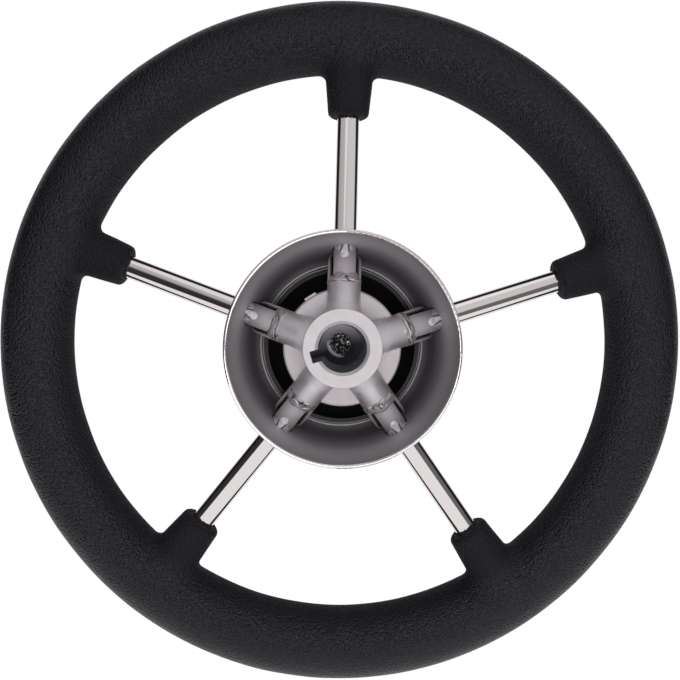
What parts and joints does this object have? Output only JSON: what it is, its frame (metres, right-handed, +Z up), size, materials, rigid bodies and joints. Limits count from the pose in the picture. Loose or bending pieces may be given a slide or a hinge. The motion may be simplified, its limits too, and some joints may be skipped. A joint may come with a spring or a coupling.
{
  "type": "boat steering wheel",
  "caption": "Boat steering wheel with round spokes dished from a keyed taper hub to a soft moulded rim, a polished bell over the hub and a snap-in centre cap.",
  "frame": {"origin": "centre of the tapered shaft bore's mouth, on the hub's rear face", "axes": "the wheel turns about Y; -Y points out of the bore's mouth at the dash, +Y at the helmsman, +Z is up along the top spoke and +X is to the right as seen from the dash"},
  "size_m": [0.28, 0.0797, 0.28],
  "materials": {
    "grip_foam": "integral-skin foam with a fine leather grain, matt",
    "core_steel": "plain tube and weld, hidden in the grip",
    "polished_steel": "mirror polished bar",
    "hub_casting": "as cast and blasted, face turned",
    "bell_steel": "polished outside, dull as pressed inside",
    "weld_bead": "as welded",
    "cap_plastic": "black, smooth"
  },
  "bodies": {
    "root": {"grip": "grip_foam", "rim_core": "core_steel", "core_weld_1": "core_steel", "core_weld_2": "core_steel", "core_weld_3": "core_steel", "core_weld_4": "core_steel", "core_weld_5": "core_steel", "spoke_1": "polished_steel", "spoke_2": "polished_steel", "spoke_3": "polished_steel", "spoke_4": "polished_steel", "spoke_5": "polished_steel", "hub": "hub_casting", "bell": "bell_steel", "socket_weld_1": "weld_bead", "socket_weld_2": "weld_bead", "socket_weld_3": "weld_bead", "socket_weld_4": "weld_bead", "socket_weld_5": "weld_bead", "bell_tack_1": "weld_bead", "bell_tack_2": "weld_bead", "bell_tack_3": "weld_bead", "bell_tack_4": "weld_bead", "bell_tack_5": "weld_bead", "centre_cap": "cap_plastic"}
  },
  "joints": []
}
